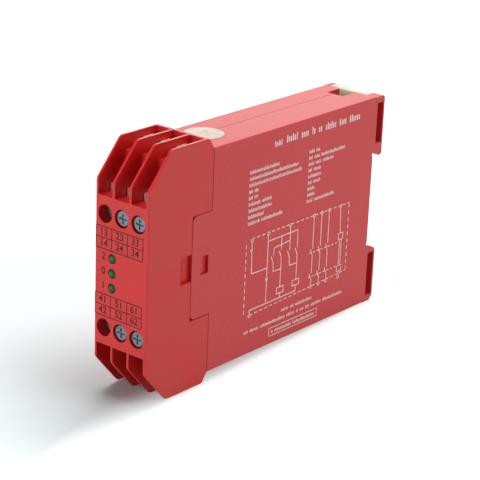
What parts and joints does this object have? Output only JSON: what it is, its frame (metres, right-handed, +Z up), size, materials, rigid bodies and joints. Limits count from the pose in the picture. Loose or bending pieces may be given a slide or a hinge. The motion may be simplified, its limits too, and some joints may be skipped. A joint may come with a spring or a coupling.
{
  "type": "safety relay module",
  "caption": "Slim red rail-mounted relay module with stepped screw terminals at the front and a sprung rail latch at the rear.",
  "frame": {"origin": "middle of the mounting rail's width, on the flat rear face that seats on the rail, half way across the module", "axes": "+Y out of the back towards the rail, +Z up the module, +X to the right as seen from the terminals"},
  "size_m": [0.0226, 0.1217, 0.084],
  "materials": {
    "red_hood_plastic": "satin",
    "red_case_plastic": "matte",
    "cream_plastic": "satin",
    "plated_steel": "satin",
    "screw_steel": "satin",
    "spring_steel": "satin",
    "green_lens": "gloss",
    "board_laminate": "satin",
    "black_plastic": "matte",
    "relay_plastic": "satin",
    "capacitor_sleeve": "satin",
    "fuse_coating": "satin",
    "resistor_coating": "matte",
    "seal_paper": "matte"
  },
  "bodies": {
    "module": {"front_hood": "red_hood_plastic", "case_right": "red_case_plastic", "case_left": "red_case_plastic", "cages_top": "plated_steel", "cages_bottom": "plated_steel", "lamp_upper": "green_lens", "lamp_middle": "green_lens", "lamp_lower": "green_lens", "front_board": "board_laminate", "main_board": "board_laminate", "board_header": "black_plastic", "relay_upper": "relay_plastic", "relay_lower": "relay_plastic", "capacitors": "capacitor_sleeve", "resettable_fuse": "fuse_coating", "logic_chips": "black_plastic", "resistors": "resistor_coating", "seam_seal": "seal_paper", "latch_spring": "spring_steel"},
    "latch": {"rail_latch": "cream_plastic"},
    "clamp_top_outer_left": {"clamp_top_outer_left": "plated_steel"},
    "screw_top_outer_left": {"screw_top_outer_left": "screw_steel"},
    "clamp_top_outer_middle": {"clamp_top_outer_middle": "plated_steel"},
    "screw_top_outer_middle": {"screw_top_outer_middle": "screw_steel"},
    "clamp_top_outer_right": {"clamp_top_outer_right": "plated_steel"},
    "screw_top_outer_right": {"screw_top_outer_right": "screw_steel"},
    "clamp_top_inner_left": {"clamp_top_inner_left": "plated_steel"},
    "screw_top_inner_left": {"screw_top_inner_left": "screw_steel"},
    "clamp_top_inner_middle": {"clamp_top_inner_middle": "plated_steel"},
    "screw_top_inner_middle": {"screw_top_inner_middle": "screw_steel"},
    "clamp_top_inner_right": {"clamp_top_inner_right": "plated_steel"},
    "screw_top_inner_right": {"screw_top_inner_right": "screw_steel"},
    "clamp_bottom_outer_left": {"clamp_bottom_outer_left": "plated_steel"},
    "screw_bottom_outer_left": {"screw_bottom_outer_left": "screw_steel"},
    "clamp_bottom_outer_middle": {"clamp_bottom_outer_middle": "plated_steel"},
    "screw_bottom_outer_middle": {"screw_bottom_outer_middle": "screw_steel"},
    "clamp_bottom_outer_right": {"clamp_bottom_outer_right": "plated_steel"},
    "screw_bottom_outer_right": {"screw_bottom_outer_right": "screw_steel"},
    "clamp_bottom_inner_left": {"clamp_bottom_inner_left": "plated_steel"},
    "screw_bottom_inner_left": {"screw_bottom_inner_left": "screw_steel"},
    "clamp_bottom_inner_middle": {"clamp_bottom_inner_middle": "plated_steel"},
    "screw_bottom_inner_middle": {"screw_bottom_inner_middle": "screw_steel"},
    "clamp_bottom_inner_right": {"clamp_bottom_inner_right": "plated_steel"},
    "screw_bottom_inner_right": {"screw_bottom_inner_right": "screw_steel"}
  },
  "joints": [
    {"name": "latch_slide", "type": "slide", "parent": "module", "child": "latch", "axis": [0, 0, 1], "range_m": [-0.003, 0], "stiffness_N_per_m": 800, "springref_m": 0.002, "deforming": ["latch_spring"]},
    {"name": "advance_top_outer_left", "type": "slide", "parent": "module", "child": "clamp_top_outer_left", "axis": [0, 1, 0], "range_m": [-0.0032, 0]},
    {"name": "turn_top_outer_left", "type": "hinge", "parent": "clamp_top_outer_left", "child": "screw_top_outer_left", "pos_m": [-0.0071, -0.1, 0.0183], "axis": [0, 1, 0], "range_deg": [-2305, 0]},
    {"name": "advance_top_outer_middle", "type": "slide", "parent": "module", "child": "clamp_top_outer_middle", "axis": [0, 1, 0], "range_m": [0, 0.0032]},
    {"name": "turn_top_outer_middle", "type": "hinge", "parent": "clamp_top_outer_middle", "child": "screw_top_outer_middle", "pos_m": [0, -0.1, 0.0183], "axis": [0, 1, 0], "range_deg": [0, 2305]},
    {"name": "advance_top_outer_right", "type": "slide", "parent": "module", "child": "clamp_top_outer_right", "axis": [0, 1, 0], "range_m": [0, 0.0032]},
    {"name": "turn_top_outer_right", "type": "hinge", "parent": "clamp_top_outer_right", "child": "screw_top_outer_right", "pos_m": [0.0071, -0.1, 0.0183], "axis": [0, 1, 0], "range_deg": [0, 2305]},
    {"name": "advance_top_inner_left", "type": "slide", "parent": "module", "child": "clamp_top_inner_left", "axis": [0, 1, 0], "range_m": [-0.0032, 0]},
    {"name": "turn_top_inner_left", "type": "hinge", "parent": "clamp_top_inner_left", "child": "screw_top_inner_left", "pos_m": [-0.0071, -0.1, 0.0304], "axis": [0, 1, 0], "range_deg": [-2305, 0]},
    {"name": "advance_top_inner_middle", "type": "slide", "parent": "module", "child": "clamp_top_inner_middle", "axis": [0, 1, 0], "range_m": [0, 0.0032]},
    {"name": "turn_top_inner_middle", "type": "hinge", "parent": "clamp_top_inner_middle", "child": "screw_top_inner_middle", "pos_m": [0, -0.1, 0.0304], "axis": [0, 1, 0], "range_deg": [0, 2305]},
    {"name": "advance_top_inner_right", "type": "slide", "parent": "module", "child": "clamp_top_inner_right", "axis": [0, 1, 0], "range_m": [0, 0.0032]},
    {"name": "turn_top_inner_right", "type": "hinge", "parent": "clamp_top_inner_right", "child": "screw_top_inner_right", "pos_m": [0.0071, -0.1, 0.0304], "axis": [0, 1, 0], "range_deg": [0, 2305]},
    {"name": "advance_bottom_outer_left", "type": "slide", "parent": "module", "child": "clamp_bottom_outer_left", "axis": [0, 1, 0], "range_m": [-0.0032, 0]},
    {"name": "turn_bottom_outer_left", "type": "hinge", "parent": "clamp_bottom_outer_left", "child": "screw_bottom_outer_left", "pos_m": [-0.0071, -0.1, -0.0201], "axis": [0, 1, 0], "range_deg": [-2305, 0]},
    {"name": "advance_bottom_outer_middle", "type": "slide", "parent": "module", "child": "clamp_bottom_outer_middle", "axis": [0, 1, 0], "range_m": [0, 0.0032]},
    {"name": "turn_bottom_outer_middle", "type": "hinge", "parent": "clamp_bottom_outer_middle", "child": "screw_bottom_outer_middle", "pos_m": [0, -0.1, -0.0201], "axis": [0, 1, 0], "range_deg": [0, 2305]},
    {"name": "advance_bottom_outer_right", "type": "slide", "parent": "module", "child": "clamp_bottom_outer_right", "axis": [0, 1, 0], "range_m": [0, 0.0032]},
    {"name": "turn_bottom_outer_right", "type": "hinge", "parent": "clamp_bottom_outer_right", "child": "screw_bottom_outer_right", "pos_m": [0.0071, -0.1, -0.0201], "axis": [0, 1, 0], "range_deg": [0, 2305]},
    {"name": "advance_bottom_inner_left", "type": "slide", "parent": "module", "child": "clamp_bottom_inner_left", "axis": [0, 1, 0], "range_m": [-0.0032, 0]},
    {"name": "turn_bottom_inner_left", "type": "hinge", "parent": "clamp_bottom_inner_left", "child": "screw_bottom_inner_left", "pos_m": [-0.0071, -0.1, -0.0322], "axis": [0, 1, 0], "range_deg": [-2305, 0]},
    {"name": "advance_bottom_inner_middle", "type": "slide", "parent": "module", "child": "clamp_bottom_inner_middle", "axis": [0, 1, 0], "range_m": [0, 0.0032]},
    {"name": "turn_bottom_inner_middle", "type": "hinge", "parent": "clamp_bottom_inner_middle", "child": "screw_bottom_inner_middle", "pos_m": [0, -0.1, -0.0322], "axis": [0, 1, 0], "range_deg": [0, 2305]},
    {"name": "advance_bottom_inner_right", "type": "slide", "parent": "module", "child": "clamp_bottom_inner_right", "axis": [0, 1, 0], "range_m": [0, 0.0032]},
    {"name": "turn_bottom_inner_right", "type": "hinge", "parent": "clamp_bottom_inner_right", "child": "screw_bottom_inner_right", "pos_m": [0.0071, -0.1, -0.0322], "axis": [0, 1, 0], "range_deg": [0, 2305]}
  ],
  "couplings": [
    {"joint": "turn_top_outer_left", "follows": "advance_top_outer_left", "rad_per_m": 12566},
    {"joint": "turn_top_outer_middle", "follows": "advance_top_outer_middle", "rad_per_m": 12566},
    {"joint": "turn_top_outer_right", "follows": "advance_top_outer_right", "rad_per_m": 12566},
    {"joint": "turn_top_inner_left", "follows": "advance_top_inner_left", "rad_per_m": 12566},
    {"joint": "turn_top_inner_middle", "follows": "advance_top_inner_middle", "rad_per_m": 12566},
    {"joint": "turn_top_inner_right", "follows": "advance_top_inner_right", "rad_per_m": 12566},
    {"joint": "turn_bottom_outer_left", "follows": "advance_bottom_outer_left", "rad_per_m": 12566},
    {"joint": "turn_bottom_outer_middle", "follows": "advance_bottom_outer_middle", "rad_per_m": 12566},
    {"joint": "turn_bottom_outer_right", "follows": "advance_bottom_outer_right", "rad_per_m": 12566},
    {"joint": "turn_bottom_inner_left", "follows": "advance_bottom_inner_left", "rad_per_m": 12566},
    {"joint": "turn_bottom_inner_middle", "follows": "advance_bottom_inner_middle", "rad_per_m": 12566},
    {"joint": "turn_bottom_inner_right", "follows": "advance_bottom_inner_right", "rad_per_m": 12566}
  ]
}
